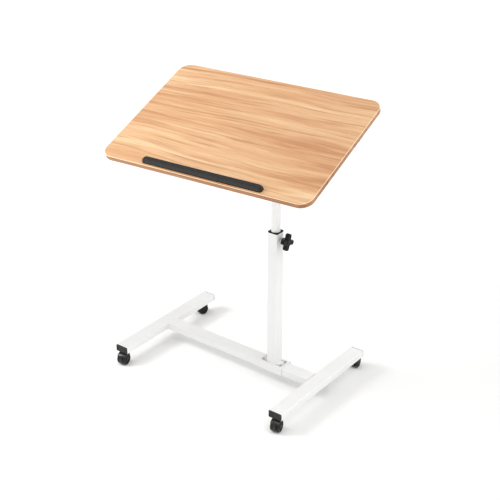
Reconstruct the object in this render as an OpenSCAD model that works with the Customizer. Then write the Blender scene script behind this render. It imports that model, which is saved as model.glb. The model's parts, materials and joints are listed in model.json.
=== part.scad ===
// Overbed table on castors, with a telescopic post and a tilting top.
// Millimetres. The origin is on the floor under the column: +X to the right,
// +Y to the back, +Z up. Without its tilt and turn the top would lie flat and square.

/* [Table top] */
// Width of the top, side to side
top_w = 600; // [520:10:640]
// Depth of the top, front to back
top_d = 400; // [340:10:440]
// Thickness of the particle board core
core_t = 12; // [11:1:18]
// Thickness of the laminate on each face
laminate_t = 0.5; // [0.4:0.1:1]
// Thickness of the band round the edge
band_t = 1; // [0.6:0.2:2]
// Corner radius of the top
top_r = 32; // [20:1:60]
// How far the top's centre is to the side of the column
top_shift = -96.5; // [-110:0.5:-60]
// Tilt of the top, front edge down
tilt = 20; // [0:1:40]
// Turn of the top about the post, from above
turn = 5; // [-20:1:20]

/* [Stop bar] */
// Length of the stop bar
bar_len = 346; // [200:2:460]
// Depth of the stop bar at its foot
bar_d = 18; // [14:1:24]
// Height of the stop bar above the top
bar_h = 12; // [9:1:18]
// Gap between the bar and the top's front edge
bar_gap = 6; // [4:1:20]

/* [Base] */
// Length of each foot, end caps included
foot_len = 388; // [340:2:460]
// Centre line of the left foot
left_foot_x = -384; // [-430:1:-330]
// Centre line of the right foot
right_foot_x = 143; // [110:1:180]
// Width of the base tubes
tube_w = 40; // [36:1:50]
// Height of the base tubes
tube_h = 20; // [18:1:25]
// Wall of the base tubes
tube_wall = 1.2; // [1:0.1:1.8]
// Height of the top of the base above the floor
base_top = 56; // [55:1:64]
// How far each castor stem is from the end of its foot
stem_inset = 19; // [18:1:30]

/* [Column and post] */
// Width of the square column
column_w = 30; // [28:1:34]
// Wall of the column
column_wall = 1.5; // [1.2:0.1:1.6]
// Height of the top of the column's bush
bush_top = 450; // [400:1:500]
// Outer diameter of the post
post_d = 25; // [24:0.5:25]
// Wall of the post
post_wall = 1.2; // [1:0.1:1.6]
// Height of the tilt pivot
pivot_z = 672.5; // [650:0.5:700]
// Length of post that is inside the column
post_inside = 190; // [120:5:210]
// How far the clamp knob's screw is below the top of the bush
clamp_drop = 22; // [18:1:38]

/* [Castors] */
// Diameter of a castor wheel
wheel_d = 32; // [30:1:32]
// Width of a castor wheel
wheel_w = 8; // [7:0.2:10]
// Distance from a castor's stem to its axle
trail = 14; // [11:0.5:15]

/* [Hidden] */
$fn = 48;

white = "whitesmoke";
black = [0.15, 0.15, 0.15];
zinc = "silver";
wood = [0.9, 0.72, 0.56];

seat = 0.03;     // gap between two fixed pieces, one inside the other
running = 0.05;  // gap of a shaft that turns in its bore
apart = 0.3;     // gap between faces that move past each other

// Base tubes and their end caps
tube_r = 2.5;
cap_t = 3;
cap_depth = 9;
cap_step = 0.5;                   // how much the cap is inside the tube's outline
base_bottom = base_top - tube_h;
tube_len = foot_len - 2*cap_t;
inner_w = tube_w - 2*tube_wall;
inner_h = tube_h - 2*tube_wall;
crossbar_from = left_foot_x + tube_w/2;
crossbar_to = right_foot_x - tube_w/2;

// Castors: name, side, end and rest angle of each one
stem_y = foot_len/2 - stem_inset;
CASTORS = [
    ["fl", left_foot_x, -stem_y, 10],
    ["fr", right_foot_x, -stem_y, 12],
    ["rl", left_foot_x, stem_y, -20],
    ["rr", right_foot_x, stem_y, -168]
];
wheel_r = wheel_d/2;
fork_w = 8;                       // width of the hood's middle web
wheel_in = fork_w/2 + 0.5;        // inner face of a wheel from the middle
wheel_out = wheel_in + wheel_w;
axle_r = 2;
axle_reach = wheel_out - 1.6;
hood_in = wheel_r + 0.9;
hood_out = wheel_r + 2.4;
nut_flange_t = 0.8;
nut_body_r = 5.5;
nut_depth = 12;
stud_r = 4;
pin_r = 2.5;
collar_t = 0.8;
collar_bottom = base_bottom - nut_flange_t - collar_t;
boss_top = collar_bottom - apart;
pin_bottom = 13;

// Saddle bracket that joins the column to the crossbar
saddle_w = 78;
saddle_t = 3;
saddle_top = base_top + saddle_t;
saddle_gap = 0.1;
saddle_x = 29;
saddle_y = 11;
saddle_screw_r = 2.5;
saddle_nut_r = 3.5;

// Column, bush and clamp
bush_flange = 3;
bush_len = 44;
column_top = bush_top - bush_flange;
clamp_z = bush_top - clamp_drop;
column_in = column_w - 2*column_wall;
post_r = post_d/2;
post_in_r = post_r - post_wall;
screw_r = 4;
screw_hole_r = 4.3;
pad_r = 3.4;
pad_from = post_r + apart;
screw_from = column_w/2 + 0.5;
clamp_nut_flat = 13;
clamp_nut_t = 6.5;
clamp_hub_from = column_w/2 + clamp_nut_t + 2;
clamp_knob_from = clamp_hub_from + 7;
knob_t = 12;
clamp_knob_r = 22.5;
clamp_knob_turn = -19;            // rest angle of the knob's lobes
tilt_knob_r = 20;

// Post, its square slider and the head at its top
slider_l = 22;
spigot_l = 24;
slider_w = column_in - 0.4;
post_bottom = bush_top - post_inside;
head_half = 12.2;
head_r = 13;
head_drop = 16;
head_bottom = pivot_z - head_drop;
head_spigot = 26;

// Tilting top, measured from the pivot: w is the height above it
backer_w = 30;
core_w = backer_w + laminate_t;
face_core_w = core_w + core_t;
face_w = face_core_w + laminate_t;
core_width = top_w - 2*band_t;
core_depth = top_d - 2*band_t;
bar_v = -top_d/2 + bar_gap + bar_d/2;
bar_screw_r = 2;
bar_screw_head_r = 4;
slot_gap = 0.3;

// Tilt bracket, bolt and knob
plate_t = 2.5;
plate_u = 110;
plate_v = 80;
plate_w = backer_w - plate_t;
cheek_in = 14.3;
cheek_out = cheek_in + plate_t;
wood_screw_u = 43;
wood_screw_v = 28;
wood_screw_r = 2;
wood_screw_l = 10;
bolt_end = 36;
washer_t = 1.6;
tilt_hub_from = cheek_out + apart + washer_t + 0.1;
tilt_knob_from = tilt_hub_from + 7;
insert_r = 6;
insert_l = 14;

// ---- outlines -------------------------------------------------------------

module rounded(w, d, r) {
    square([w - 2*r, d], center = true);
    square([w, d - 2*r], center = true);
    for (x = [-1, 1], y = [-1, 1])
        translate([x*(w/2 - r), y*(d/2 - r)]) circle(r);
}

module tube_section(w, h, wall, r) {
    difference() {
        rounded(w, h, r);
        rounded(w - 2*wall, h - 2*wall, r - wall);
    }
}

// A bar along Y from one Y to another
module along_y(from, to) {
    translate([0, to, 0]) rotate([90, 0, 0]) linear_extrude(to - from) children();
}

// A bar along X: the outline's x and y become Y and Z
module along_x(from, to) {
    translate([from, 0, 0]) rotate([90, 0, 90]) linear_extrude(to - from) children();
}

module rod_x(from, to, r) {
    translate([from, 0, 0]) rotate([0, 90, 0]) cylinder(h = to - from, r = r);
}

// ---- places ---------------------------------------------------------------

module at_stems() {
    for (c = CASTORS) translate([c[1], c[2], 0]) children();
}

module at_castor(c) {
    translate([c[1], c[2], 0]) rotate([0, 0, c[3]]) children();
}

module at_clamp() {
    translate([0, 0, clamp_z]) children();
}

module at_pivot() {
    translate([0, 0, pivot_z]) rotate([0, 0, turn]) children();
}

module at_top() {
    at_pivot() rotate([tilt, 0, 0]) children();
}

module at_saddle_holes() {
    for (x = [-saddle_x, saddle_x], y = [-saddle_y, saddle_y])
        translate([x, y, 0]) children();
}

module at_wood_screws() {
    for (u = [-wood_screw_u, wood_screw_u], v = [-wood_screw_v, wood_screw_v])
        translate([u, v, 0]) children();
}

module at_bar_screws() {
    for (i = [-1:1]) translate([top_shift + i*bar_len*0.4, bar_v, 0]) children();
}

// ---- base -----------------------------------------------------------------

module foot_tube(x) {
    color(white) translate([x, 0, 0]) difference() {
        translate([0, 0, base_top - tube_h/2])
            along_y(-tube_len/2, tube_len/2) tube_section(tube_w, tube_h, tube_wall, tube_r);
        for (y = [-stem_y, stem_y])
            translate([0, y, base_bottom - 1])
                cylinder(h = tube_wall + 2, r = nut_body_r + seat);
    }
}

module left_foot_tube() { foot_tube(left_foot_x); }

module right_foot_tube() { foot_tube(right_foot_x); }

module crossbar_tube() {
    color(white) difference() {
        translate([0, 0, base_top - tube_h/2])
            along_x(crossbar_from, crossbar_to)
                tube_section(tube_w, tube_h, tube_wall, tube_r);
        at_saddle_holes() translate([0, 0, base_top - tube_wall - 1])
            cylinder(h = tube_wall + 2, r = saddle_nut_r + seat);
    }
}

// A flange nearly as big as the tube, and a hollow plug inside it
module end_cap() {
    along_y(-tube_len/2 - cap_t, -tube_len/2)
        rounded(tube_w - 2*cap_step, tube_h - 2*cap_step, tube_r);
    along_y(-tube_len/2, -tube_len/2 + cap_depth)
        tube_section(inner_w - 0.2, inner_h - 0.2, 1.6, 1.7);
}

module foot_end_caps() {
    color(black)
        for (x = [left_foot_x, right_foot_x], back = [0, 1])
            translate([x, 0, base_top - tube_h/2]) mirror([0, back, 0]) end_cap();
}

// Rivet nuts set in the underside of the feet
module castor_nuts() {
    color(zinc) at_stems() difference() {
        union() {
            translate([0, 0, base_bottom - nut_flange_t]) cylinder(h = nut_flange_t, r = 7);
            translate([0, 0, base_bottom]) cylinder(h = nut_depth, r = nut_body_r);
        }
        translate([0, 0, base_bottom - 2]) cylinder(h = nut_depth + 4, r = stud_r + seat);
    }
}

// A threaded stud above a collar, and the pin that the hood turns on
module castor_stems() {
    color(zinc) at_stems() {
        translate([0, 0, collar_bottom + collar_t])
            cylinder(h = nut_flange_t + nut_depth, r = stud_r);
        translate([0, 0, collar_bottom]) cylinder(h = collar_t, r = 6.5);
        translate([0, 0, pin_bottom]) cylinder(h = collar_bottom - pin_bottom, r = pin_r);
    }
}

// ---- column ---------------------------------------------------------------

module saddle_bracket() {
    wing = tube_w/2 + saddle_gap + saddle_t;
    color(white) difference() {
        translate([0, 0, base_top]) along_x(-saddle_w/2, saddle_w/2) difference() {
            translate([-wing, -tube_h + 1]) square([2*wing, tube_h - 1 + saddle_t]);
            translate([saddle_t - wing, -tube_h])
                square([2*wing - 2*saddle_t, tube_h]);
        }
        at_saddle_holes() translate([0, 0, base_top - 1])
            cylinder(h = saddle_t + 2, r = saddle_screw_r + 0.2);
    }
}

module saddle_screws() {
    color(zinc) at_saddle_holes() {
        translate([0, 0, base_top - 11])
            cylinder(h = 11 + saddle_t, r = saddle_screw_r);
        translate([0, 0, saddle_top]) difference() {
            cylinder(h = 2.4, r1 = 4.4, r2 = 3.4);
            translate([0, 0, 1]) cylinder(h = 2, r = 2*0.9, $fn = 6);
        }
    }
}

module saddle_nuts() {
    color(zinc) at_saddle_holes() translate([0, 0, base_top - 9]) difference() {
        cylinder(h = 9, r = saddle_nut_r);
        translate([0, 0, -1]) cylinder(h = 11, r = saddle_screw_r + seat);
    }
}

module column_tube() {
    color(white) difference() {
        translate([0, 0, saddle_top]) linear_extrude(column_top - saddle_top)
            tube_section(column_w, column_w, column_wall, 2.5);
        at_clamp() rod_x(0, column_w, screw_hole_r);
    }
}

// A collar on the column's end, over a sleeve that guides the post
module column_bush() {
    sleeve = column_in - 0.2;
    color(black) difference() {
        union() {
            translate([0, 0, column_top]) linear_extrude(bush_flange)
                rounded(column_w, column_w, 2.5);
            translate([0, 0, column_top - bush_len]) linear_extrude(bush_len)
                rounded(sleeve, sleeve, 1);
        }
        translate([0, 0, column_top - bush_len - 1])
            cylinder(h = bush_len + bush_flange + 2, r = post_r + running);
        at_clamp() rod_x(0, column_w, screw_hole_r);
    }
}

module clamp_nut() {
    color(zinc) at_clamp() difference() {
        translate([column_w/2, 0, 0]) rotate([0, 90, 0])
            cylinder(h = clamp_nut_t, r = clamp_nut_flat/2/cos(30), $fn = 6);
        rod_x(0, column_w, screw_r + running);
    }
}

// ---- height clamp ---------------------------------------------------------

// Nylon pad that the screw pushes on to the post
module clamp_pad() {
    color("ivory") at_clamp() rod_x(pad_from, screw_from - 0.1, pad_r);
}

module clamp_screw() {
    color(zinc) at_clamp() rod_x(screw_from, clamp_knob_from + 8, screw_r);
}

// Four rounded lobes round a hub
module star(r) {
    lobe_r = 0.14*r;
    lobe_half = 0.26*r;
    circle(0.5*r);
    for (a = [0:90:270]) rotate(a) {
        translate([0, -lobe_half + lobe_r]) square([r, 2*(lobe_half - lobe_r)]);
        translate([0, -lobe_half]) square([r - lobe_r, 2*lobe_half]);
        for (y = [-1, 1]) translate([r - lobe_r, y*(lobe_half - lobe_r)]) circle(lobe_r);
    }
}

// Knob on the X axis: its hub, then its star with a dish in each lobe
module star_knob(r, hub_from, star_from, hole_r, hole_to) {
    dish_r = 0.17*r;
    difference() {
        union() {
            rod_x(hub_from, star_from, 0.38*r);
            along_x(star_from, star_from + knob_t) star(r);
        }
        rod_x(hub_from - 1, hole_to, hole_r);
        for (a = [0:90:270]) rotate([a, 0, 0])
            translate([0, 0, 0.74*r]) rod_x(star_from + knob_t - 2, star_from + knob_t + 1, dish_r);
    }
}

module clamp_knob() {
    color(black) at_clamp() rotate([clamp_knob_turn, 0, 0])
        star_knob(clamp_knob_r, clamp_hub_from, clamp_knob_from,
                  screw_r + seat, clamp_knob_from + 8.1);
}

// ---- post -----------------------------------------------------------------

// Square block that slides in the column; the post turns on its spigot
module guide_slider() {
    color(black) {
        translate([0, 0, post_bottom - apart - slider_l]) linear_extrude(slider_l)
            rounded(slider_w, slider_w, 1.2);
        translate([0, 0, post_bottom - apart])
            cylinder(h = spigot_l, r = post_in_r - running);
    }
}

module inner_post() {
    color(white) translate([0, 0, post_bottom]) difference() {
        cylinder(h = head_bottom - post_bottom, r = post_r);
        translate([0, 0, -1])
            cylinder(h = head_bottom - post_bottom + 2, r = post_in_r);
    }
}

// Block on the end of the post, bored for the tilt bolt
module post_head() {
    color(white) at_pivot() difference() {
        union() {
            rod_x(-head_half, head_half, head_r);
            translate([-head_half, -head_r, -head_drop])
                cube([2*head_half, 2*head_r, head_drop]);
            translate([0, 0, -head_drop - head_spigot])
                cylinder(h = head_spigot, r = post_in_r - seat);
        }
        rod_x(-column_w, column_w, screw_r + running);
    }
}

// ---- top ------------------------------------------------------------------

module core_outline() {
    translate([top_shift, 0]) rounded(core_width, core_depth, top_r - band_t);
}

// Plan of the stop bar, its corners cut, grown by a gap all round
module bar_plan(gap = 0) {
    cut = 4;
    x = bar_len/2 + gap;
    y = bar_d/2 + gap;
    translate([top_shift, bar_v]) polygon([
        [-x, -y + cut], [-x + cut, -y], [x - cut, -y], [x, -y + cut],
        [x, y - cut], [x - cut, y], [-x + cut, y], [-x, y - cut]
    ]);
}

module top_core() {
    color("tan") at_top() difference() {
        translate([0, 0, core_w]) linear_extrude(core_t) core_outline();
        at_wood_screws() translate([0, 0, core_w - 1])
            cylinder(h = wood_screw_l, r = wood_screw_r + seat);
        at_bar_screws() translate([0, 0, core_w - 1])
            cylinder(h = core_t + 2, r = bar_screw_r + seat);
    }
}

// The printed face, with a slot that the stop bar stands in
module top_laminate() {
    color(wood) at_top() translate([0, 0, face_core_w]) linear_extrude(laminate_t)
        difference() {
            core_outline();
            bar_plan(slot_gap);
        }
}

module backer_laminate() {
    color("beige") at_top() translate([0, 0, backer_w]) difference() {
        linear_extrude(laminate_t) core_outline();
        at_wood_screws() translate([0, 0, -1])
            cylinder(h = laminate_t + 2, r = wood_screw_r + seat);
        at_bar_screws() translate([0, 0, -1])
            cylinder(h = laminate_t + 2, r = bar_screw_r + seat);
    }
}

module edge_band() {
    color(wood) at_top() translate([top_shift, 0, backer_w])
        linear_extrude(core_t + 2*laminate_t) difference() {
            rounded(top_w, top_d, top_r);
            rounded(core_width, core_depth, top_r - band_t);
        }
}

// A bar with a sloped front and back, and with cut corners
module stop_bar() {
    foot = 3.5;
    slope = 3;
    y = bar_d/2;
    color(black) at_top() difference() {
        intersection() {
            translate([0, 0, face_core_w]) linear_extrude(bar_h + laminate_t) bar_plan();
            translate([0, bar_v, face_core_w])
                along_x(top_shift - bar_len, top_shift + bar_len) polygon([
                    [-y, 0], [y, 0], [y, foot], [y - slope, bar_h + laminate_t],
                    [-y + slope, bar_h + laminate_t], [-y, foot]
                ]);
            translate([top_shift, 0, face_core_w]) along_y(-top_d, top_d) polygon([
                [-bar_len/2, 0], [bar_len/2, 0], [bar_len/2, bar_h - 5],
                [bar_len/2 - 5, bar_h + laminate_t], [-bar_len/2 + 5, bar_h + laminate_t],
                [-bar_len/2, bar_h - 5]
            ]);
        }
        at_bar_screws() translate([0, 0, face_core_w - 1])
            cylinder(h = 8, r = bar_screw_r + seat);
    }
}

// Pan-head screws up through the board
module stop_bar_screws() {
    head_t = 2;
    color(zinc) at_top() at_bar_screws() {
        translate([0, 0, backer_w]) cylinder(h = face_core_w - backer_w + 6, r = bar_screw_r);
        translate([0, 0, backer_w - head_t]) difference() {
            cylinder(h = head_t, r = bar_screw_head_r);
            for (a = [0, 90]) rotate(a)
                translate([-2, -0.4, -1]) cube([4, 0.8, 2]);
        }
    }
}

// ---- tilt bracket ---------------------------------------------------------

// One ear of the bracket: wide at the plate and round at the bolt
module cheek() {
    difference() {
        union() {
            circle(11);
            polygon([[-11, 0], [11, 0], [24, plate_w - 6], [24, plate_w],
                     [-24, plate_w], [-24, plate_w - 6]]);
        }
        circle(screw_r + running);
    }
}

module tilt_bracket() {
    color(white) at_top() {
        difference() {
            translate([0, 0, plate_w]) linear_extrude(plate_t)
                rounded(plate_u, plate_v, 8);
            at_wood_screws() translate([0, 0, plate_w - 1])
                cylinder(h = plate_t + 2, r = wood_screw_r + 0.4);
        }
        along_x(cheek_in, cheek_out) cheek();
        along_x(-cheek_out, -cheek_in) cheek();
    }
}

module tilt_bracket_screws() {
    head_t = 2.2;
    color(zinc) at_top() at_wood_screws() {
        translate([0, 0, plate_w]) cylinder(h = plate_t + wood_screw_l - 1, r = wood_screw_r);
        translate([0, 0, plate_w - head_t]) difference() {
            cylinder(h = head_t, r = 4.2);
            for (a = [0, 90]) rotate(a)
                translate([-2.2, -0.45, -1]) cube([4.4, 0.9, 2.1]);
        }
    }
}

// Bolt that the top tilts on, its round head on the left
module tilt_bolt() {
    color(zinc) at_top() {
        rod_x(-cheek_out, bolt_end, screw_r);
        translate([-cheek_out - 4, 0, 0]) rotate([0, 90, 0]) cylinder(h = 4, r1 = 5, r2 = 9);
    }
}

module ring_x(from, to, r, hole_r) {
    difference() {
        rod_x(from, to, r);
        rod_x(from - 1, to + 1, hole_r);
    }
}

module tilt_friction_washers() {
    color("ivory") at_top() {
        ring_x(head_half + apart, cheek_in, 10, screw_r + running);
        ring_x(-cheek_in, -head_half - apart, 10, screw_r + running);
    }
}

module tilt_washer() {
    color(zinc) at_top()
        ring_x(cheek_out + apart, cheek_out + apart + washer_t, 9, screw_r + running);
}

module tilt_knob_insert() {
    color(zinc) at_top()
        ring_x(tilt_hub_from, tilt_hub_from + insert_l, insert_r, screw_r + running);
}

module tilt_knob() {
    color(black) at_top() difference() {
        star_knob(tilt_knob_r, tilt_hub_from, tilt_knob_from, insert_r + seat,
                  tilt_hub_from + insert_l + 0.1);
        rod_x(tilt_hub_from, bolt_end + 1, screw_r + 0.3);
    }
}

// ---- castors --------------------------------------------------------------

// Arc of a ring about the axle, between two angles from the front
module hood_arc() {
    reach = 2*hood_out;
    intersection() {
        difference() {
            circle(hood_out);
            circle(hood_in);
        }
        polygon([[0, 0], reach*[-cos(34), sin(34)], reach*[-cos(70), sin(70)],
                 reach*[-cos(120), sin(120)], reach*[-cos(152), sin(152)]]);
    }
}

// Web between the wheels, boss round the pin, and fender over the wheels
module castor_hood() {
    color(black) difference() {
        union() {
            translate([0, -trail, wheel_r])
                along_x(-wheel_out - 0.3, wheel_out + 0.3) hood_arc();
            along_x(-fork_w/2, fork_w/2) {
                intersection() {
                    translate([-trail, wheel_r]) circle(hood_in + 0.5);
                    translate([-2*wheel_d, wheel_r - 7]) square([3*wheel_d, wheel_d]);
                }
                translate([-5, pin_bottom - 3]) square([10, boss_top - pin_bottom + 3]);
            }
        }
        translate([0, 0, pin_bottom - 1])
            cylinder(h = boss_top - pin_bottom + 2, r = pin_r + running);
        translate([0, -trail, wheel_r]) rod_x(-fork_w, fork_w, axle_r + seat);
    }
}

module castor_axle() {
    color(zinc) translate([0, -trail, wheel_r]) rod_x(-axle_reach, axle_reach, axle_r);
}

// Wheel on the +X side: a tread, a hollow behind it, and a dished outer face
module castor_wheel() {
    color(black) translate([wheel_in, -trail, wheel_r]) rotate([0, 90, 0])
        rotate_extrude($fn = 72) polygon([
            [axle_r + running, 0], [5, 0], [5, 3], [wheel_r - 4, 3], [wheel_r - 4, 0],
            [wheel_r - 1.2, 0], [wheel_r, 1.2], [wheel_r, wheel_w - 1.6],
            [wheel_r - 1.6, wheel_w], [wheel_r - 3.2, wheel_w],
            [wheel_r - 3.8, wheel_w - 0.8], [4.6, wheel_w - 0.8], [4, wheel_w],
            [0, wheel_w], [0, axle_reach - wheel_in + 0.2],
            [axle_r + running, axle_reach - wheel_in + 0.2]
        ]);
}

// ---- nodes ----------------------------------------------------------------

left_foot_tube();
right_foot_tube();
crossbar_tube();
foot_end_caps();
castor_nuts();
castor_stems();
saddle_bracket();
saddle_screws();
saddle_nuts();
column_tube();
column_bush();
clamp_nut();
clamp_pad();
clamp_screw();
clamp_knob();
guide_slider();
inner_post();
post_head();
top_core();
top_laminate();
backer_laminate();
edge_band();
stop_bar();
stop_bar_screws();
tilt_bracket();
tilt_bracket_screws();
tilt_bolt();
tilt_friction_washers();
tilt_washer();
tilt_knob_insert();
tilt_knob();
for (c = CASTORS) {
    name = str("castor_", c[0]);
    at_castor(c) castor_hood();
    at_castor(c) castor_axle();
    at_castor(c) mirror([1, 0, 0]) castor_wheel();
    at_castor(c) castor_wheel();
}
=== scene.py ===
import json
import math

import bpy
import bmesh
from mathutils import Matrix, Vector

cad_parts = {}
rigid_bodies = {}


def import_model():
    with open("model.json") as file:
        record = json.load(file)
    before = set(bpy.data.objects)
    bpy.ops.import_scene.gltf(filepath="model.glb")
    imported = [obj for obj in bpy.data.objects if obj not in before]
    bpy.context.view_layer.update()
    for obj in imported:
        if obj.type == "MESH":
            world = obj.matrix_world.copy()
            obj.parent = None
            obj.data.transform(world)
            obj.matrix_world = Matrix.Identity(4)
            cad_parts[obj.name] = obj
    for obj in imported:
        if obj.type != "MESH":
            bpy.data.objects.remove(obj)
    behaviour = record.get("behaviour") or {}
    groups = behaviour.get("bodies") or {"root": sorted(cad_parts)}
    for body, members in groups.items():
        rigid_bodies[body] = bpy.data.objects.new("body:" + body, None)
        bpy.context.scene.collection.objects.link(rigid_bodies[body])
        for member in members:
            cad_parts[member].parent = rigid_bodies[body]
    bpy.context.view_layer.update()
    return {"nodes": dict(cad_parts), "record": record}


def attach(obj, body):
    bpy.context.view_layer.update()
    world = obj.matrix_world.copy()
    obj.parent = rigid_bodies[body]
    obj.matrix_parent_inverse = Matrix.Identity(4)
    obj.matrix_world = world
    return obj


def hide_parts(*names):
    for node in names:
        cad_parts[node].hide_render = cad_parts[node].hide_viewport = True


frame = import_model()
nodes = frame["nodes"]
record = frame["record"]

MM = 0.001
CASTORS = ("fl", "fr", "rl", "rr")


# ---- places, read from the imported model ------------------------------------

joints = {j["name"]: j for j in record["behaviour"]["joints"]}
mounts = {m["name"]: m for m in record["mounts"]}


def axes_place(origin, x_axis, z_axis):
    """A matrix whose X and Z axes point along two perpendicular directions."""
    x = Vector(x_axis).normalized()
    z = Vector(z_axis).normalized()
    turned = Matrix((x, z.cross(x), z)).transposed().to_4x4()
    return Matrix.Translation(Vector(origin)) @ turned


def castor_place(name):
    """Origin on the floor under the stem, X along the axle, -Y the way that the wheels trail."""
    x, y, _ = joints[f"castor_{name}_swivel"]["pos_m"]
    return axes_place((x, y, 0), joints[f"castor_{name}_roll_r"]["axis"], (0, 0, 1))


# The board's place: X along the tilt bolt and Z out of the working surface
TOP = axes_place(joints["top_tilt"]["pos_m"], joints["top_tilt"]["axis"],
                 mounts["work_surface"]["axis"])
FLAT = Matrix()
FACING_RIGHT = Matrix.Rotation(math.radians(90), 4, "Y")
FACING_FRONT = Matrix.Rotation(math.radians(90), 4, "X")
FACING_BACK = Matrix.Rotation(math.radians(-90), 4, "X")


def local_box(node, place=FLAT):
    """Lowest and highest corner of a CAD node, measured in a place of its own."""
    inverse = place.inverted()
    points = [inverse @ v.co for v in nodes[node].data.vertices]
    return (Vector(min(p[i] for p in points) for i in range(3)),
            Vector(max(p[i] for p in points) for i in range(3)))


# ---- materials --------------------------------------------------------------

def linear(red, green, blue):
    """An sRGB colour of 0 to 255 as linear RGBA."""
    def channel(value):
        value /= 255
        return value / 12.92 if value <= 0.04045 else ((value + 0.055) / 1.055) ** 2.4
    return (channel(red), channel(green), channel(blue), 1)


class Surface:
    """A Principled material and short ways to add nodes to it."""

    def __init__(self, name, **sockets):
        self.material = bpy.data.materials.new(name)
        self.material.use_nodes = True
        self.tree = self.material.node_tree
        self.shader = self.tree.nodes["Principled BSDF"]
        for socket, value in sockets.items():
            self.shader.inputs[socket.replace("_", " ")].default_value = value
        self.coordinates = self.node("ShaderNodeTexCoord").outputs["Object"]

    def node(self, kind, **settings):
        made = self.tree.nodes.new(kind)
        for key, value in settings.items():
            setattr(made, key, value)
        return made

    def feed(self, node, socket, value):
        if isinstance(value, bpy.types.NodeSocket):
            self.tree.links.new(value, node.inputs[socket])
        else:
            node.inputs[socket].default_value = value

    def mapped(self, scale, place=None):
        """Coordinates in a piece's own place, stretched by scale."""
        source = self.coordinates
        if place is not None:
            turned = self.node("ShaderNodeMapping", vector_type="TEXTURE")
            self.feed(turned, "Vector", source)
            turned.inputs["Location"].default_value = place.to_translation()
            turned.inputs["Rotation"].default_value = place.to_euler()
            source = turned.outputs["Vector"]
        stretched = self.node("ShaderNodeMapping", vector_type="POINT")
        self.feed(stretched, "Vector", source)
        stretched.inputs["Scale"].default_value = scale
        return stretched.outputs["Vector"]

    def noise(self, vector, detail=3.0, roughness=0.5, distortion=0.0):
        """Soft noise with one feature in each unit of the mapped vector."""
        made = self.node("ShaderNodeTexNoise")
        self.feed(made, "Vector", vector)
        self.feed(made, "Scale", 1.0)
        self.feed(made, "Detail", detail)
        self.feed(made, "Roughness", roughness)
        self.feed(made, "Distortion", distortion)
        return made.outputs["Fac"]

    def cells(self, vector):
        """Cells that each have a random colour, one to each unit of the mapped vector."""
        made = self.node("ShaderNodeTexVoronoi")
        self.feed(made, "Vector", vector)
        self.feed(made, "Scale", 1.0)
        return made.outputs["Color"]

    def ramp(self, value, *stops):
        """A colour read from a value, by stops of (position, colour)."""
        made = self.node("ShaderNodeValToRGB")
        self.feed(made, "Fac", value)
        elements = made.color_ramp.elements
        while len(elements) < len(stops):
            elements.new(1.0)
        for element, (position, colour) in zip(elements, stops):
            element.position = position
            element.color = colour
        return made.outputs["Color"]

    def spread(self, value, low, high, to_low=0.0, to_high=1.0):
        """A value's range of low to high as another range, and held at its ends."""
        made = self.node("ShaderNodeMapRange")
        for socket, number in zip(("Value", "From Min", "From Max", "To Min", "To Max"),
                                  (value, low, high, to_low, to_high)):
            self.feed(made, socket, number)
        return made.outputs["Result"]

    def math(self, operation, a, b):
        made = self.node("ShaderNodeMath", operation=operation)
        self.feed(made, 0, a)
        self.feed(made, 1, b)
        return made.outputs["Value"]

    def blend(self, factor, a, b, kind="MIX"):
        """Two colours mixed by a factor. Sockets 6 and 7 are the colour inputs, 2 the result."""
        made = self.node("ShaderNodeMix", data_type="RGBA", blend_type=kind)
        self.feed(made, "Factor", factor)
        for socket, value in ((6, a), (7, b)):
            if isinstance(value, bpy.types.NodeSocket):
                self.tree.links.new(value, made.inputs[socket])
            else:
                made.inputs[socket].default_value = value
        return made.outputs[2]

    def colour(self, value):
        self.feed(self.shader, "Base Color", value)

    def roughness(self, value):
        self.feed(self.shader, "Roughness", value)

    def bump(self, height, depth):
        """Adds a bump of a depth in metres, on top of any before it."""
        made = self.node("ShaderNodeBump")
        self.feed(made, "Height", height)
        self.feed(made, "Distance", depth)
        if self.shader.inputs["Normal"].is_linked:
            self.feed(made, "Normal", self.shader.inputs["Normal"].links[0].from_socket)
        self.feed(self.shader, "Normal", made.outputs["Normal"])
        return self


def every(size):
    """The mapping scale that gives one feature in a length, the same on every axis."""
    return (1 / size,) * 3


def powder_coat():
    """White powder coat: a fine orange peel and a faintly uneven gloss."""
    s = Surface("powder_coat", Specular_IOR_Level=0.45, Coat_Weight=0.15, Coat_Roughness=0.25)
    broad = s.noise(s.mapped(every(60 * MM)), detail=2)
    peel = s.noise(s.mapped(every(1.1 * MM)), detail=2)
    s.colour(s.ramp(broad, (0.3, linear(236, 236, 236)), (0.7, linear(240, 240, 240))))
    s.roughness(s.spread(s.noise(s.mapped(every(14 * MM))), 0.3, 0.7, 0.36, 0.46))
    return s.bump(peel, 0.03 * MM).material


def moulded(name, colour, lighter, low, high, shine=0.3, grain=0.45 * MM, depth=0.03 * MM):
    """Moulded black plastic: a spark-eroded grain, with rubbed and dusty patches.

    low and high are the roughness of the rubbed and the dusty patches.
    """
    s = Surface(name, Specular_IOR_Level=shine)
    patches = s.noise(s.mapped(every(9 * MM)), detail=4, roughness=0.6)
    s.colour(s.ramp(patches, (0.35, colour), (0.75, lighter)))
    s.roughness(s.spread(patches, 0.3, 0.7, low, high))
    return s.bump(s.noise(s.mapped(every(grain)), detail=2), depth).material


def zinc():
    """Zinc-plated steel: faint drawing lines and cloudy plating."""
    s = Surface("zinc", Metallic=1.0)
    clouds = s.noise(s.mapped(every(4 * MM)), detail=3)
    lines = s.noise(s.mapped((1 / (0.25 * MM), 1 / (3 * MM), 1 / (0.25 * MM))), detail=2)
    s.colour(s.ramp(clouds, (0.3, linear(176, 176, 172)), (0.7, linear(206, 205, 199))))
    s.roughness(s.spread(s.math("ADD", clouds, lines), 0.7, 1.3, 0.24, 0.42))
    return s.bump(lines, 0.01 * MM).material


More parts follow.
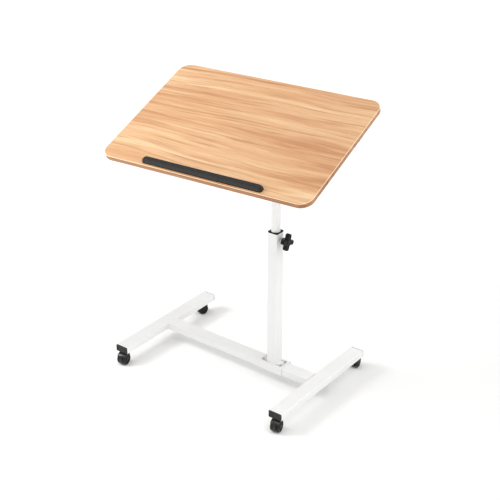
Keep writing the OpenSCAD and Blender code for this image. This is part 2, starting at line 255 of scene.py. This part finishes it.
def nylon():
    """Natural nylon: off-white and slightly translucent."""
    s = Surface("nylon", Specular_IOR_Level=0.4, Subsurface_Weight=0.1)
    clouds = s.noise(s.mapped(every(5 * MM)), detail=2)
    s.colour(s.ramp(clouds, (0.3, linear(228, 224, 208)), (0.7, linear(240, 237, 224))))
    s.roughness(s.spread(clouds, 0.3, 0.7, 0.45, 0.6))
    return s.bump(s.noise(s.mapped(every(0.6 * MM))), 0.02 * MM).material


def particle_board():
    """Pressed wood chips, each its own brown."""
    s = Surface("particle_board", Specular_IOR_Level=0.2)
    chips = s.cells(s.mapped((1 / (4 * MM), 1 / (2.5 * MM), 1 / (0.8 * MM)), TOP))
    tone = s.noise(chips, detail=0)
    s.colour(s.ramp(tone, (0.3, linear(150, 112, 74)), (0.7, linear(206, 172, 126))))
    s.roughness(s.spread(tone, 0.0, 1.0, 0.75, 0.95))
    return s.bump(tone, 0.15 * MM).material


def wood_grain(name, gloss=0.38, edge=None):
    """Printed wood grain that runs along the board: bands, streaks and pores.

    With edge, the height of the face, the sides are darkened as painted shade and the arris is
    painted pale as a painted highlight.
    """
    s = Surface(name, Specular_IOR_Level=0.45, Coat_Weight=0.12, Coat_Roughness=0.2)
    drift = s.noise(s.mapped((2.2, 3.0, 3.0), TOP), detail=2)
    sway = s.node("ShaderNodeVectorMath", operation="MULTIPLY_ADD")
    s.feed(sway, 0, drift)
    sway.inputs[1].default_value = (0.0, 0.055, 0.0)
    s.feed(sway, 2, s.mapped((1, 1, 1), TOP))

    def stretched(x, y, shift):
        made = s.node("ShaderNodeMapping", vector_type="POINT")
        s.feed(made, "Vector", sway.outputs["Vector"])
        made.inputs["Scale"].default_value = (x, y, y)
        made.inputs["Location"].default_value = (shift, shift, 0)
        return made.outputs["Vector"]

    bands = s.noise(stretched(1.9, 30, 3.1), detail=3, roughness=0.55, distortion=0.5)
    streaks = s.noise(stretched(3.2, 115, 7.7), detail=4, roughness=0.62, distortion=0.4)
    fibres = s.noise(stretched(14, 420, 1.3), detail=3, roughness=0.6)
    pores = s.noise(stretched(60, 1500, 5.9), detail=1)

    base = s.ramp(bands,
                  (0.30, linear(228, 192, 150)), (0.44, linear(212, 168, 124)),
                  (0.56, linear(203, 154, 110)), (0.70, linear(186, 131, 87)))
    dark = s.spread(streaks, 0.53, 0.70, 0.0, 0.75)
    mixed = s.blend(dark, base, linear(160, 103, 62))
    pale = s.spread(streaks, 0.46, 0.30, 0.0, 0.5)
    mixed = s.blend(pale, mixed, linear(230, 201, 162))
    fine = s.spread(fibres, 0.35, 0.65, 0.91, 1.06)
    mixed = s.blend(1.0, mixed, fine, "MULTIPLY")
    pore = s.spread(pores, 0.66, 0.72, 0.0, 0.3)
    mixed = s.blend(pore, mixed, linear(146, 96, 60))
    if edge is not None:
        # Painted shade and highlight: the sides are multiplied darker as painted shade, and a pale
        # band along the top arris is a painted highlight.
        height = s.node("ShaderNodeSeparateXYZ")
        s.feed(height, 0, s.mapped((1, 1, 1), TOP))
        arris_highlight = s.spread(height.outputs["Z"], edge - 1.0 * MM, edge - 0.7 * MM)
        side_shade_tint, arris_highlight_colour = (0.68, 0.54, 0.40, 1), linear(246, 226, 192)
        side = s.blend(1.0, mixed, side_shade_tint, "MULTIPLY")
        mixed = s.blend(arris_highlight, side, arris_highlight_colour)
    s.colour(mixed)
    s.roughness(s.spread(streaks, 0.3, 0.7, gloss - 0.05, gloss + 0.07))
    return s.bump(fibres, 0.02 * MM).bump(pores, 0.02 * MM).material


def melamine():
    """Plain backing paper under the board."""
    s = Surface("melamine", Specular_IOR_Level=0.4)
    flecks = s.noise(s.mapped((1 / (6 * MM), 1 / (0.9 * MM), 1 / (0.9 * MM)), TOP), detail=3)
    s.colour(s.ramp(flecks, (0.3, linear(226, 219, 206)), (0.7, linear(238, 233, 222))))
    s.roughness(s.spread(flecks, 0.3, 0.7, 0.5, 0.6))
    return s.bump(flecks, 0.02 * MM).material


MATERIALS = {
    "frame_white": powder_coat(),
    "black_plastic": moulded("cap_plastic", linear(34, 34, 35), linear(50, 49, 49), 0.5, 0.66),
    "knob_black": moulded("knob_plastic", linear(8, 8, 8), linear(20, 19, 19), 0.26, 0.4,
                          shine=0.2),
    "bar_black": moulded("bar_plastic", linear(14, 13, 13), linear(30, 28, 26), 0.2, 0.32,
                         shine=0.42, grain=0.7 * MM, depth=0.02 * MM),
    "castor_black": moulded("castor_plastic", linear(9, 9, 9), linear(26, 25, 25), 0.2, 0.34,
                            shine=0.5),
    "wheel_black": moulded("wheel_plastic", linear(14, 14, 14), linear(34, 33, 31), 0.3, 0.46),
    "zinc_steel": zinc(),
    "nylon": nylon(),
    "core_board": particle_board(),
    "wood_laminate": wood_grain("wood_laminate"),
    "edge_band": wood_grain("wood_edge", gloss=0.42, edge=local_box("edge_band", TOP)[1].z),
    "backer": melamine(),
}

for entry in record["subparts"]:
    for slot in nodes[entry["node"]].material_slots:
        slot.material = MATERIALS[entry["material_slot"]]
# The bush is the same plastic as the caps, flatter, and its colour painted darker as painted shade
nodes["column_bush"].material_slots[0].material = moulded(
    "bush_plastic_painted_shade", linear(8, 8, 8), linear(16, 16, 16), 0.5, 0.66, shine=0.15)


# ---- camera, floor and light -------------------------------------------------

CAMERA_AIM = Vector((-0.0863, 0.0047, 0.3664))
CAMERA_AZIMUTH = math.radians(37.28)
CAMERA_ELEVATION = math.radians(26.72)
CAMERA_DISTANCE = 2.9957
CAMERA_LENS = 81.89
CAMERA_REACH = 500

FLOOR_HALF = 200
FLOOR_TONES = (0.795, 0.795, 0.79, 1), (0.81, 0.81, 0.805, 1)
GLOW_STARTS, GLOW_FULL, GLOW = 0.9, 3.0, 0.3   # distances from the column, and strength

SKY = 0.78
KEY_PLACE = Vector((-1.4, -0.9, 1.4))
KEY_AIM = Vector((-0.1, 0, 0.2))
KEY_WIDTH = 0.85
KEYS = {"key": 22, "key_on_colours": 15}   # watts
SUNS = {"fill": (0.48, 80, (1.2, 0.1, 0.5)),   # strength, width in degrees, and where from
        "top": (1.0, 60, (0.15, -0.1, 1))}


def facing(direction):
    """A rotation whose +Z, the back of a camera or light, points in a direction."""
    return direction.to_track_quat("Z", "Y").to_matrix().to_4x4()


def add_camera():
    """The photograph's viewpoint."""
    back = Vector((math.sin(CAMERA_AZIMUTH) * math.cos(CAMERA_ELEVATION),
                   -math.cos(CAMERA_AZIMUTH) * math.cos(CAMERA_ELEVATION),
                   math.sin(CAMERA_ELEVATION)))
    camera = bpy.data.objects.new("camera", bpy.data.cameras.new("camera"))
    camera.data.lens = CAMERA_LENS
    camera.data.clip_end = CAMERA_REACH
    camera.matrix_world = (Matrix.Translation(CAMERA_AIM + back * CAMERA_DISTANCE)
                           @ facing(back))
    bpy.context.collection.objects.link(camera)
    bpy.context.scene.camera = camera


def add_floor():
    """A pale floor that glows a little far from the table, so that it stays white there."""
    mesh = bpy.data.meshes.new("floor")
    mesh.from_pydata([(FLOOR_HALF * x, FLOOR_HALF * y, 0)
                      for x, y in ((-1, -1), (1, -1), (1, 1), (-1, 1))], [], [(0, 1, 2, 3)])
    made = bpy.data.objects.new("floor", mesh)
    bpy.context.collection.objects.link(made)
    surface = Surface("floor", Roughness=0.9, Specular_IOR_Level=0.1)
    cloud = surface.noise(surface.mapped(every(0.8)), detail=1)
    surface.colour(surface.ramp(cloud, (0.3, FLOOR_TONES[0]), (0.7, FLOOR_TONES[1])))
    far = surface.node("ShaderNodeVectorMath", operation="LENGTH")
    surface.feed(far, 0, surface.coordinates)
    glow = surface.spread(far.outputs["Value"], GLOW_STARTS, GLOW_FULL, 0.0, GLOW)
    surface.feed(surface.shader, "Emission Color", (1, 1, 1, 1))
    surface.feed(surface.shader, "Emission Strength", glow)
    mesh.materials.append(surface.material)
    return made


def add_light(name, kind, energy, place):
    """A light placed and turned by a matrix."""
    light = bpy.data.objects.new(name, bpy.data.lights.new(name, kind))
    light.data.energy = energy
    light.matrix_world = place
    bpy.context.collection.objects.link(light)
    return light


def add_lights():
    """An even studio: the sky, a key on the left in two parts, a fill and a top light."""
    world = bpy.data.worlds.new("studio")
    world.use_nodes = True
    background = world.node_tree.nodes["Background"]
    background.inputs["Color"].default_value = (1, 1, 1, 1)
    background.inputs["Strength"].default_value = SKY
    bpy.context.scene.world = world
    aimed = Matrix.Translation(KEY_PLACE) @ facing(KEY_PLACE - KEY_AIM)
    for name, energy in KEYS.items():
        key = add_light(name, "AREA", energy, aimed)
        key.data.shape = "DISK"
        key.data.size = KEY_WIDTH
        key.light_linking.receiver_collection = bpy.data.collections.new(f"lit_by_{name}")
    for name, (energy, width, source) in SUNS.items():
        add_light(name, "SUN", energy, facing(Vector(source))).data.angle = math.radians(width)
    bpy.context.scene.view_settings.view_transform = "Standard"


def link_keys():
    """Gives the floor the stronger key, and every piece that isn't white the weaker one."""
    bpy.data.collections["lit_by_key"].objects.link(floor)
    white = MATERIALS["frame_white"]
    for thing in bpy.context.scene.objects:
        if thing.type == "MESH" and thing != floor and thing.data.materials[0] != white:
            bpy.data.collections["lit_by_key_on_colours"].objects.link(thing)


add_camera()
floor = add_floor()
add_lights()


# ---- shapes ------------------------------------------------------------------

def rounded(width, depth, radius, steps=6):
    """Corners of a rounded rectangle, anticlockwise."""
    points = []
    for quarter, (sx, sy) in enumerate(((1, 1), (-1, 1), (-1, -1), (1, -1))):
        for step in range(steps + 1):
            angle = math.radians(90) * (quarter + step / steps)
            points.append((sx * (width / 2 - radius) + radius * math.cos(angle),
                           sy * (depth / 2 - radius) + radius * math.sin(angle)))
    return points


def circle(radius, count):
    """Points round a circle, anticlockwise."""
    return [(radius * math.cos(math.tau * i / count), radius * math.sin(math.tau * i / count))
            for i in range(count)]


def loft(rings, place, closed=False):
    """A mesh through rings of (outline, height), in a place. Open ends are capped."""
    made = bmesh.new()
    loops = [[made.verts.new(place @ Vector((x, y, height))) for x, y in outline]
             for outline, height in rings]
    pairs = list(zip(loops, loops[1:]))
    if closed:
        pairs.append((loops[-1], loops[0]))
    for low, high in pairs:
        for i in range(len(low)):
            j = (i + 1) % len(low)
            made.faces.new((low[i], low[j], high[j], high[i]))
    if not closed:
        made.faces.new(list(reversed(loops[0])))
        made.faces.new(loops[-1])
    bmesh.ops.remove_doubles(made, verts=made.verts, dist=0.001 * MM)
    bmesh.ops.recalc_face_normals(made, faces=made.faces)
    return made


def join(parts):
    """Several bmeshes as one."""
    whole = bmesh.new()
    for part in parts:
        mesh = bpy.data.meshes.new("part")
        part.to_mesh(mesh)
        part.free()
        whole.from_mesh(mesh)
        bpy.data.meshes.remove(mesh)
    return whole


def add_piece(name, made, slot, body, replaced=(), bevel=0.0, smooth=40):
    """Makes an object of a bmesh, finishes it and hangs it on its body."""
    mesh = bpy.data.meshes.new(name)
    made.to_mesh(mesh)
    made.free()
    mesh.shade_smooth()
    mesh.set_sharp_from_angle(angle=math.radians(smooth))
    mesh.materials.append(MATERIALS[slot])
    piece = bpy.data.objects.new(name, mesh)
    bpy.context.collection.objects.link(piece)
    if bevel:
        soften(piece, bevel)
    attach(piece, body)
    if replaced:
        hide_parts(*replaced)
    return piece


def soften(piece, width):
    """Rounds a piece's hard edges."""
    edges = piece.modifiers.new("edges", "BEVEL")
    edges.width = width
    edges.segments = 2
    edges.limit_method = "ANGLE"
    edges.angle_limit = math.radians(40)
    edges.harden_normals = True


def soften_node(node, width):
    """Rounds a CAD node's hard edges, once its split corners are joined."""
    weld = nodes[node].modifiers.new("weld", "WELD")
    weld.merge_threshold = 0.002 * MM
    soften(nodes[node], width)


# ---- board -------------------------------------------------------------------

def corner_radius(node, place):
    """Corner radius of a rounded plate, from where its straight side ends."""
    _, high = local_box(node, place)
    inverse = place.inverted()
    side = [p.y for p in (inverse @ v.co for v in nodes[node].data.vertices)
            if high.x - p.x < 0.01 * MM]
    return high.y - max(side)


def board_edge():
    """The band round the board, drawn as one closed loop with eased arrises."""
    low, high = local_box("edge_band", TOP)
    band = local_box("top_core", TOP)[0].x - low.x
    radius = corner_radius("edge_band", TOP)
    ease = 0.8 * MM
    quarter = [math.radians(90) * i / 4 for i in range(5)]
    section = ([(band, low.z)]
               + [(ease * (1 - math.sin(t)), low.z + ease * (1 - math.cos(t))) for t in quarter]
               + [(ease * (1 - math.cos(t)), high.z - ease * (1 - math.sin(t))) for t in quarter]
               + [(band, high.z)])
    rings = [(rounded(high.x - low.x - 2 * inset, high.y - low.y - 2 * inset,
                      radius - inset, steps=14), height) for inset, height in section]
    middle = Matrix.Translation(((low.x + high.x) / 2, (low.y + high.y) / 2, 0))
    add_piece("board_edge", loft(rings, TOP @ middle, closed=True), "edge_band", "top",
              replaced=("edge_band",))


def octagon(length, depth, cut):
    """A rectangle with its four corners cut off."""
    x, y = length / 2, depth / 2
    return [(x, -y + cut), (x, y - cut), (x - cut, y), (-x + cut, y),
            (-x, y - cut), (-x, -y + cut), (-x + cut, -y), (x - cut, -y)]


def stop_bar():
    """A bar with an upright foot, sloped sides and steeper ends."""
    low, high = local_box("stop_bar", TOP)
    length, depth, height = high - low
    foot, side_slope, end_slope, cut = 3.5 * MM, 3 * MM, 5 * MM, 4 * MM
    end_foot = height - end_slope
    partway = side_slope * (end_foot - foot) / (height - foot)
    rings = [(octagon(length, depth, cut), 0),
             (octagon(length, depth, cut), foot),
             (octagon(length, depth - 2 * partway, cut), end_foot),
             (octagon(length - 2 * end_slope, depth - 2 * side_slope, cut), height)]
    middle = Matrix.Translation(((low.x + high.x) / 2, (low.y + high.y) / 2, low.z))
    add_piece("stop_bar_moulding", loft(rings, TOP @ middle), "bar_black", "top",
              replaced=("stop_bar",), bevel=0.8 * MM, smooth=30)


board_edge()
stop_bar()


# ---- base --------------------------------------------------------------------

TUBE_WALL = 1.2 * MM


def foot_caps():
    """A cap on each end of each foot: a rimmed flange, and a hollow plug in the tube."""
    cap_low, cap_high = local_box("foot_end_caps")
    rim, recess, plug_depth = 2.2 * MM, 0.5 * MM, 9 * MM
    for foot, word in (("left_foot_tube", "left"), ("right_foot_tube", "right")):
        low, high = local_box(foot)
        middle = (low + high) / 2
        width = 2 * (cap_high.x - local_box("right_foot_tube")[0].x) - (high.x - low.x)
        height = cap_high.z - cap_low.z
        thick = low.y - cap_low.y
        corner = 2.5 * MM

        def ring(inset, at):
            return (rounded(width - 2 * inset, height - 2 * inset,
                            max(corner - inset, 0.8 * MM), steps=6), at)
        face = [ring(0, 0), ring(0, thick - 1.1 * MM), ring(0.15 * MM, thick - 0.55 * MM),
                ring(0.5 * MM, thick - 0.15 * MM), ring(1.0 * MM, thick),
                ring(rim, thick), ring(rim + 0.5 * MM, thick - recess)]
        gap = TUBE_WALL + 0.1 * MM
        plug_w, plug_h = high.x - low.x - 2 * gap, high.z - low.z - 2 * gap
        for end, outward, side in ((low.y, FACING_FRONT, "front"), (high.y, FACING_BACK, "rear")):
            place = Matrix.Translation((middle.x, end, middle.z)) @ outward
            plug = loft([(rounded(plug_w - 2 * inset, plug_h - 2 * inset, 1.2 * MM), at)
                         for inset, at in ((0, 0), (0, -7.5 * MM), (0.6 * MM, -plug_depth),
                                           (1.8 * MM, -plug_depth), (1.6 * MM, 0))],
                        place, closed=True)
            add_piece(f"foot_cap_{side}_{word}", join([loft(face, place), plug]),
                      "black_plastic", "base", replaced=("foot_end_caps",))


def weld_bead(start, end, radius):
    """A straight fillet weld, with the ripples of its passes."""
    pitch = 2.4 * MM
    start, end = Vector(start), Vector(end)
    along = (end - start).normalized()
    side = along.orthogonal().normalized()
    place = axes_place(start, side, along)
    length = (end - start).length
    steps = max(8, round(4 * length / pitch))
    rings = []
    for i in range(steps + 1):
        at = length * i / steps
        taper = min(1, math.sqrt(max(0.04, min(at, length - at) / (2 * radius))))
        ripple = 1 + 0.09 * math.cos(math.tau * at / pitch)
        rings.append((circle(radius * taper * ripple, 12), at))
    return loft(rings, place)


def base_welds():
    """Beads where the crossbar meets the feet."""
    low, high = local_box("crossbar_tube")
    radius = 1.3 * MM
    beads = []
    for x in (low.x, high.x):
        for y in (low.y, high.y):
            beads.append(weld_bead((x, y, low.z + 2.5 * MM), (x, y, high.z - 2.5 * MM), radius))
    add_piece("crossbar_welds", join(beads), "frame_white", "base")


def column_welds():
    """A bead round the foot of the column."""
    low, high = local_box("column_tube")
    half = high.x
    radius = 1.5 * MM
    beads = []
    for k in range(4):
        turn = Matrix.Rotation(math.radians(90) * k, 4, "Z")
        beads.append(weld_bead(turn @ Vector((half, -half + 2 * MM, low.z)),
                               turn @ Vector((half, half - 2 * MM, low.z)), radius))
    add_piece("column_welds", join(beads), "frame_white", "base")


foot_caps()
base_welds()
column_welds()
soften_node("saddle_bracket", 1.1 * MM)
soften_node("column_bush", 0.5 * MM)
soften_node("clamp_nut", 0.5 * MM)
soften_node("saddle_screws", 0.2 * MM)


# ---- knobs -------------------------------------------------------------------

KNOB_TURN = math.radians(-19)


def star(reach, half, fillet, steps=10):
    """Four lobes with parallel sides, round ends and filleted valleys."""
    tip = 0.2 * reach
    quarter = []
    for i in range(steps + 1):
        t = math.radians(-90 + 180 * i / steps)
        quarter.append((reach - tip + tip * math.cos(t),
                        half * math.copysign(abs(math.sin(t)) ** 0.8, math.sin(t))))
    centre = half + fillet
    for i in range(steps // 2 + 1):
        t = math.radians(-90 - 90 * i / (steps // 2))
        quarter.append((centre + fillet * math.cos(t), centre + fillet * math.sin(t)))
    points = []
    for k in range(4):
        c, s = math.cos(math.radians(90 * k)), math.sin(math.radians(90 * k))
        points += [(c * x - s * y, s * x + c * y) for x, y in quarter]
    return points


def star_knob(name, node, place, body):
    """A star with a rim round its recessed face, a domed cap and a hub behind it."""
    low, high = local_box(node, place)
    reach = max((place.inverted() @ v.co).xy.length for v in nodes[node].data.vertices)
    thick = 12 * MM
    back, front = high.z - thick, high.z
    half, fillet = 0.29 * reach, 0.2 * reach

    def ring(inset, at):
        return (star(reach - inset, half - inset, fillet + inset), at)
    lobes = loft([ring(0.9 * MM, back), ring(0.3 * MM, back + 0.5 * MM),
                  ring(0.1 * MM, back + 1.2 * MM), ring(0, back + 3 * MM),
                  ring(0, front - 2.2 * MM), ring(0.25 * MM, front - 1.1 * MM),
                  ring(0.8 * MM, front - 0.4 * MM), ring(1.6 * MM, front - 0.1 * MM),
                  ring(2.2 * MM, front - 0.1 * MM), ring(2.7 * MM, front - 0.5 * MM),
                  ring(3.1 * MM, front - 1.4 * MM)], place)
    cap_r = 0.3 * reach
    cap = loft([(circle(cap_r, 40), front - 2 * MM), (circle(cap_r, 40), front - 0.7 * MM),
                (circle(cap_r - 0.5 * MM, 40), front - 0.25 * MM),
                (circle(0.6 * cap_r, 40), front - 0.05 * MM), (circle(0.3 * cap_r, 40), front)],
               place)
    hub_r = 0.38 * reach
    hub = loft([(circle(hub_r - 0.6 * MM, 40), low.z), (circle(hub_r, 40), low.z + 0.6 * MM),
                (circle(hub_r, 40), back - 0.8 * MM),
                (circle(hub_r + 0.8 * MM, 40), back + 0.4 * MM)], place)
    add_piece(name, join([lobes, cap, hub]), "knob_black", body, replaced=(node,), smooth=35)


star_knob("clamp_star", "clamp_knob",
          axes_place(joints["clamp_turn"]["pos_m"],
                     (0, -math.sin(KNOB_TURN), math.cos(KNOB_TURN)), (1, 0, 0)), "clamp_knob")
star_knob("tilt_star", "tilt_knob",
          axes_place(joints["tilt_clamp_turn"]["pos_m"], mounts["work_surface"]["axis"],
                     joints["tilt_clamp_turn"]["axis"]), "tilt_knob")


# ---- castors -----------------------------------------------------------------

def wheel_body(radius, width):
    """A revolved wheel: crowned tread, dished face with a rim, and a hub cap."""
    profile = [(radius - 4, 3), (radius - 4, 0), (radius - 1.2, 0), (radius - 0.5, 0.2),
               (radius - 0.12, 0.8), (radius, 2.2), (radius, width - 3.0),
               (radius - 0.15, width - 1.6), (radius - 0.7, width - 0.5),
               (radius - 1.6, width), (radius - 2.9, width), (radius - 3.4, width - 0.4),
               (radius - 3.7, width - 1.5), (5.6, width - 1.9), (5.2, width - 0.6),
               (4.7, width - 0.15), (3.4, width), (1.6, width)]
    return [(circle(r * MM, 64), z * MM) for r, z in profile]


def castor_wheel(name, side):
    """A wheel with five spokes on its outer face."""
    base = castor_place(name)
    node = f"castor_{name}_wheel_{side}"   # its body has the same name
    low, high = local_box(node, base)
    centre = base.inverted() @ Vector(joints[f"castor_{name}_roll_{side}"]["pos_m"])
    radius, width = (high.z - low.z) / 2 / MM, (high.x - low.x) / MM
    inner = low.x if side == "r" else high.x
    outward = FACING_RIGHT if side == "r" else FACING_RIGHT.inverted()
    place = base @ Matrix.Translation((inner, centre.y, centre.z)) @ outward
    parts = [loft(wheel_body(radius, width), place)]
    for k in range(5):
        turn = Matrix.Rotation(math.tau * k / 5, 4, "Z")
        middle = Matrix.Translation(((radius + 2.2) / 2 * MM, 0, 0))
        root = rounded((radius - 8.2) * MM, 1.5 * MM, 0.5 * MM, 3)
        crest = rounded((radius - 8.6) * MM, 1.0 * MM, 0.4 * MM, 3)
        spoke = [(root, (width - 2.4) * MM), (root, (width - 1.0) * MM),
                 (crest, (width - 0.8) * MM)]
        parts.append(loft(spoke, place @ turn @ middle))
    add_piece(f"wheel_{name}_{side}", join(parts), "wheel_black", node, replaced=(node,),
              smooth=35)


def castor_fender(place, half, inner, outer):
    """The arched cover: its section, with rolled shoulders, swept over the wheels."""
    roll = outer - inner
    section = [(-half, inner), (-half, inner + 0.3 * roll),
               (-half + 0.25 * roll, outer - 0.2 * roll),
               (-half + 0.8 * roll, outer), (half - 0.8 * roll, outer),
               (half - 0.25 * roll, outer - 0.2 * roll), (half, inner + 0.3 * roll), (half, inner)]
    made = bmesh.new()
    loops = []
    first, last, steps = math.radians(34), math.radians(152), 30
    for i in range(steps + 1):
        t = first + (last - first) * i / steps
        narrow = 1 - 0.2 * max(0, 1 - min(i, steps - i) / 4) ** 2   # rounds the cover's corners
        y, z = -math.cos(t), math.sin(t)
        loops.append([made.verts.new(place @ Vector((narrow * x, r * y, r * z)))
                      for x, r in section])
    for near, far in zip(loops, loops[1:]):
        for i in range(len(section)):
            j = (i + 1) % len(section)
            made.faces.new((near[i], near[j], far[j], far[i]))
    made.faces.new(list(reversed(loops[0])))
    made.faces.new(loops[-1])
    bmesh.ops.recalc_face_normals(made, faces=made.faces)
    return made


def castor_hood(name):
    """The cover, the web between the wheels and the boss round the stem."""
    base = castor_place(name)
    node = f"castor_{name}_hood"
    low, high = local_box(node, base)
    centre = base.inverted() @ Vector(joints[f"castor_{name}_roll_r"]["pos_m"])
    outer = high.z - centre.z
    inner = outer - 1.5 * MM
    web_thick = 8 * MM
    axle = base @ Matrix.Translation((0, centre.y, centre.z))
    fender = castor_fender(axle, high.x, inner, outer)
    web_r = inner + 0.5 * MM
    start = math.radians(-26)
    web = [(-web_r * math.cos(start + (math.pi - 2 * start) * i / 32),
            web_r * math.sin(start + (math.pi - 2 * start) * i / 32)) for i in range(33)]
    sideways = axle @ axes_place((0, 0, 0), (0, 1, 0), (1, 0, 0))
    plate = loft([(web, -web_thick / 2), (web, web_thick / 2)], sideways)
    boss = loft([(rounded(web_thick - 2 * i * MM, (10 - 2 * i) * MM, 3.2 * MM), z)
                 for i, z in ((0.4, low.z), (0, low.z + 0.6 * MM), (0, 33.2 * MM), (0.3, 34 * MM))],
                base)
    add_piece(f"hood_{name}", join([fender, plate, boss]), "castor_black", f"castor_{name}",
              replaced=(node,), bevel=0.35 * MM, smooth=35)


for castor in CASTORS:
    castor_hood(castor)
    castor_wheel(castor, "l")
    castor_wheel(castor, "r")


# ---- tilt head ---------------------------------------------------------------

for node_name, width in (("tilt_bracket", 0.5), ("post_head", 1.0), ("tilt_bolt", 0.5),
                         ("tilt_washer", 0.2), ("stop_bar_screws", 0.2),
                         ("tilt_bracket_screws", 0.2)):
    soften_node(node_name, width * MM)


link_keys()
